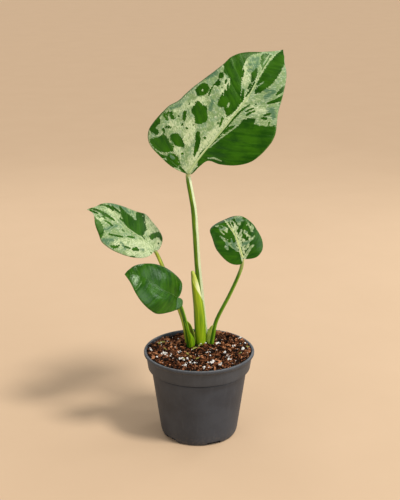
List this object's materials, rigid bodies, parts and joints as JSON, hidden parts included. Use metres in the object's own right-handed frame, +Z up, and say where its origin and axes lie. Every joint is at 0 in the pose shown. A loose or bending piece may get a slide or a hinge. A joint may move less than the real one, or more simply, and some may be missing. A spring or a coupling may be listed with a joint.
{
  "type": "potted monstera",
  "caption": "Young variegated monstera standing in a round nursery pot: blades on bare petioles, a rolled new leaf, potting mix with perlite and bark.",
  "frame": {"origin": "middle of the pot's underside, on the surface that the pot stands on", "axes": "+Z up along the pot's axis, -Y towards the side that the blades face, +X to the right seen from there"},
  "size_m": [0.2111, 0.1326, 0.4087],
  "materials": {
    "pot_plastic": "satin",
    "potting_mix": "matte",
    "bark": "matte",
    "perlite": "matte",
    "variegated_blade": "satin",
    "green_blade": "satin",
    "petiole": "satin",
    "sheath": "satin",
    "dry_scale": "matte"
  },
  "bodies": {
    "root": {"nursery_pot": "pot_plastic", "potting_mix": "potting_mix", "main_petiole": "petiole", "left_petiole": "petiole", "front_petiole": "petiole", "right_petiole": "petiole", "new_leaf_spear": "sheath", "front_sheath": "sheath", "right_sheath": "sheath", "main_leaf": "variegated_blade", "left_leaf": "variegated_blade", "right_leaf": "variegated_blade", "front_leaf": "green_blade", "dry_scale_leaf": "dry_scale", "perlite_grain_1": "perlite", "perlite_grain_2": "perlite", "perlite_grain_3": "perlite", "perlite_grain_4": "perlite", "perlite_grain_5": "perlite", "perlite_grain_6": "perlite", "perlite_grain_7": "perlite", "perlite_grain_8": "perlite", "bark_chip_1": "bark", "bark_chip_2": "bark", "bark_chip_3": "bark", "bark_chip_4": "bark", "bark_chip_5": "bark", "bark_chip_6": "bark", "bark_chip_7": "bark", "bark_chip_8": "bark"}
  },
  "joints": []
}
